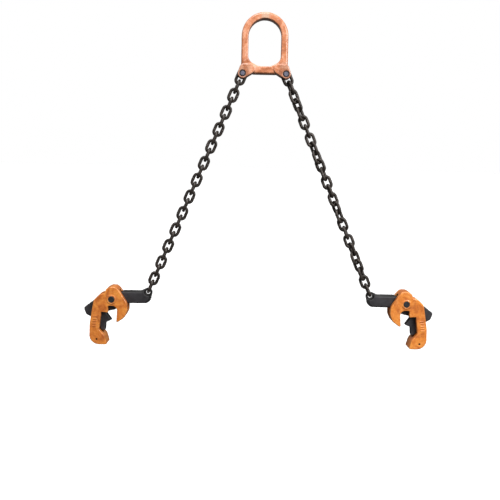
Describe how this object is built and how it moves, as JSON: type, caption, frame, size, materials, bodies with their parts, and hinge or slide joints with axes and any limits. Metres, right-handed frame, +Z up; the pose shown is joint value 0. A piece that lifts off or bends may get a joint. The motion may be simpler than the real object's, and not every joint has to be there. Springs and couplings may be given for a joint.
{
  "type": "drum lifting clamp",
  "caption": "Chain lifter for steel drums: a forged master link carries chain legs that each end in a lever-jaw clamp gripping the drum's rolled rim.",
  "frame": {"origin": "centre of the top arch of the master link's hook eye", "axes": "+X along the line between the two clamps, +Y through the eye, +Z up"},
  "size_m": [0.6696, 0.0354, 0.6223],
  "materials": {
    "master_link_paint": "salmon orange paint on a forging, slightly worn",
    "orange_paint": "orange paint on a casting, satin",
    "black_chain": "black oxide chain, oily satin",
    "black_forging": "black oxide forging, satin",
    "bright_pin": "ground steel pin, dulled",
    "dark_pin": "blackened steel"
  },
  "bodies": {
    "master": {"master_link": "master_link_paint", "left_clevis_pin": "bright_pin", "right_clevis_pin": "bright_pin", "clevis_circlips": "dark_pin"},
    "left_chain_01": {"left_links_01": "black_chain"},
    "left_chain_02": {"left_links_02": "black_chain"},
    "left_chain_03": {"left_links_03": "black_chain"},
    "left_chain_04": {"left_links_04": "black_chain"},
    "left_chain_05": {"left_links_05": "black_chain"},
    "left_chain_06": {"left_links_06": "black_chain"},
    "left_chain_07": {"left_links_07": "black_chain"},
    "left_chain_08": {"left_links_08": "black_chain"},
    "left_chain_09": {"left_links_09": "black_chain"},
    "left_chain_10": {"left_links_10": "black_chain"},
    "left_chain_11": {"left_links_11": "black_chain"},
    "left_chain_12": {"left_links_12": "black_chain"},
    "left_lever": {"left_lever": "black_forging"},
    "left_clamp": {"left_clamp_body": "orange_paint", "left_pivot_pin": "dark_pin"},
    "right_chain_01": {"right_links_01": "black_chain"},
    "right_chain_02": {"right_links_02": "black_chain"},
    "right_chain_03": {"right_links_03": "black_chain"},
    "right_chain_04": {"right_links_04": "black_chain"},
    "right_chain_05": {"right_links_05": "black_chain"},
    "right_chain_06": {"right_links_06": "black_chain"},
    "right_chain_07": {"right_links_07": "black_chain"},
    "right_chain_08": {"right_links_08": "black_chain"},
    "right_chain_09": {"right_links_09": "black_chain"},
    "right_chain_10": {"right_links_10": "black_chain"},
    "right_chain_11": {"right_links_11": "black_chain"},
    "right_chain_12": {"right_links_12": "black_chain"},
    "right_lever": {"right_lever": "black_forging"},
    "right_clamp": {"right_clamp_body": "orange_paint", "right_pivot_pin": "dark_pin"}
  },
  "joints": [
    {"name": "left_leg_swing", "type": "hinge", "parent": "master", "child": "left_chain_01", "pos_m": [-0.0399, 0, -0.067], "axis": [0, 1, 0], "range_deg": [-35, 60]},
    {"name": "left_chain_bend_01", "type": "hinge", "parent": "left_chain_01", "child": "left_chain_02", "pos_m": [-0.05414, 0, -0.10088], "axis": [0, -1, 0], "range_deg": [-45, 45]},
    {"name": "left_chain_bend_02", "type": "hinge", "parent": "left_chain_02", "child": "left_chain_03", "pos_m": [-0.06503, 0, -0.12678], "axis": [-0.9219, 0, 0.3875], "range_deg": [-45, 45]},
    {"name": "left_chain_bend_03", "type": "hinge", "parent": "left_chain_03", "child": "left_chain_04", "pos_m": [-0.08057, 0, -0.16375], "axis": [0, 1, 0], "range_deg": [-45, 45]},
    {"name": "left_chain_bend_04", "type": "hinge", "parent": "left_chain_04", "child": "left_chain_05", "pos_m": [-0.09146, 0, -0.18965], "axis": [0.9219, 0, -0.3875], "range_deg": [-45, 45]},
    {"name": "left_chain_bend_05", "type": "hinge", "parent": "left_chain_05", "child": "left_chain_06", "pos_m": [-0.107, 0, -0.22662], "axis": [0, -1, 0], "range_deg": [-45, 45]},
    {"name": "left_chain_bend_06", "type": "hinge", "parent": "left_chain_06", "child": "left_chain_07", "pos_m": [-0.12682, 0, -0.27377], "axis": [-0.9219, 0, 0.3875], "range_deg": [-45, 45]},
    {"name": "left_chain_bend_07", "type": "hinge", "parent": "left_chain_07", "child": "left_chain_08", "pos_m": [-0.14664, 0, -0.32093], "axis": [0, 1, 0], "range_deg": [-45, 45]},
    {"name": "left_chain_bend_08", "type": "hinge", "parent": "left_chain_08", "child": "left_chain_09", "pos_m": [-0.15753, 0, -0.34683], "axis": [0.9219, 0, -0.3875], "range_deg": [-45, 45]},
    {"name": "left_chain_bend_09", "type": "hinge", "parent": "left_chain_09", "child": "left_chain_10", "pos_m": [-0.17307, 0, -0.3838], "axis": [0, -1, 0], "range_deg": [-45, 45]},
    {"name": "left_chain_bend_10", "type": "hinge", "parent": "left_chain_10", "child": "left_chain_11", "pos_m": [-0.18396, 0, -0.4097], "axis": [-0.9219, 0, 0.3875], "range_deg": [-45, 45]},
    {"name": "left_chain_bend_11", "type": "hinge", "parent": "left_chain_11", "child": "left_chain_12", "pos_m": [-0.1995, 0, -0.44667], "axis": [0, 1, 0], "range_deg": [-45, 45]},
    {"name": "left_lever_hang", "type": "hinge", "parent": "left_chain_12", "child": "left_lever", "pos_m": [-0.21271, 0, -0.4781], "axis": [0, 1, 0], "range_deg": [-55, 55]},
    {"name": "left_jaw_pivot", "type": "hinge", "parent": "left_lever", "child": "left_clamp", "pos_m": [-0.28087, 0, -0.49147], "axis": [0, 1, 0], "range_deg": [-13, 10]},
    {"name": "right_leg_swing", "type": "hinge", "parent": "master", "child": "right_chain_01", "pos_m": [0.0399, 0, -0.067], "axis": [0, 1, 0], "range_deg": [-60, 35]},
    {"name": "right_chain_bend_01", "type": "hinge", "parent": "right_chain_01", "child": "right_chain_02", "pos_m": [0.05414, 0, -0.10088], "axis": [0.2293, -0.9686, 0.0964], "range_deg": [-15, 15]},
    {"name": "right_chain_bend_02", "type": "hinge", "parent": "right_chain_02", "child": "right_chain_03", "pos_m": [0.06503, 0, -0.12678], "axis": [-0.494, -0.8443, -0.2076], "range_deg": [-15, 15]},
    {"name": "right_chain_bend_03", "type": "hinge", "parent": "right_chain_03", "child": "right_chain_04", "pos_m": [0.08057, 0, -0.16375], "axis": [0.8767, -0.309, 0.3685], "range_deg": [-15, 15]},
    {"name": "right_chain_bend_04", "type": "hinge", "parent": "right_chain_04", "child": "right_chain_05", "pos_m": [0.09146, 0, -0.18965], "axis": [-0.3925, 0.9048, -0.165], "range_deg": [-15, 15]},
    {"name": "right_chain_bend_05", "type": "hinge", "parent": "right_chain_05", "child": "right_chain_06", "pos_m": [0.107, 0, -0.22662], "axis": [-0.7103, -0.6374, -0.2986], "range_deg": [-15, 15]},
    {"name": "right_chain_bend_06", "type": "hinge", "parent": "right_chain_06", "child": "right_chain_07", "pos_m": [0.12682, 0, -0.27377], "axis": [-0.9146, 0.1253, -0.3845], "range_deg": [-15, 15]},
    {"name": "right_chain_bend_07", "type": "hinge", "parent": "right_chain_07", "child": "right_chain_08", "pos_m": [0.14664, 0, -0.32093], "axis": [-0.5419, 0.809, -0.2278], "range_deg": [-15, 15]},
    {"name": "right_chain_bend_08", "type": "hinge", "parent": "right_chain_08", "child": "right_chain_09", "pos_m": [0.15753, 0, -0.34683], "axis": [0.1727, 0.9823, 0.0726], "range_deg": [-15, 15]},
    {"name": "right_chain_bend_09", "type": "hinge", "parent": "right_chain_09", "child": "right_chain_10", "pos_m": [0.17307, 0, -0.3838], "axis": [-0.92, -0.0628, -0.3868], "range_deg": [-15, 15]},
    {"name": "right_chain_bend_10", "type": "hinge", "parent": "right_chain_10", "child": "right_chain_11", "pos_m": [0.18396, 0, -0.4097], "axis": [0.672, -0.6845, 0.2825], "range_deg": [-15, 15]},
    {"name": "right_chain_bend_11", "type": "hinge", "parent": "right_chain_11", "child": "right_chain_12", "pos_m": [0.1995, 0, -0.44667], "axis": [0.4441, 0.8763, 0.1867], "range_deg": [-15, 15]},
    {"name": "right_lever_hang", "type": "hinge", "parent": "right_chain_12", "child": "right_lever", "pos_m": [0.21271, 0, -0.4781], "axis": [0, -1, 0], "range_deg": [-55, 55]},
    {"name": "right_jaw_pivot", "type": "hinge", "parent": "right_lever", "child": "right_clamp", "pos_m": [0.28087, 0, -0.49147], "axis": [0, -1, 0], "range_deg": [-13, 10]}
  ]
}
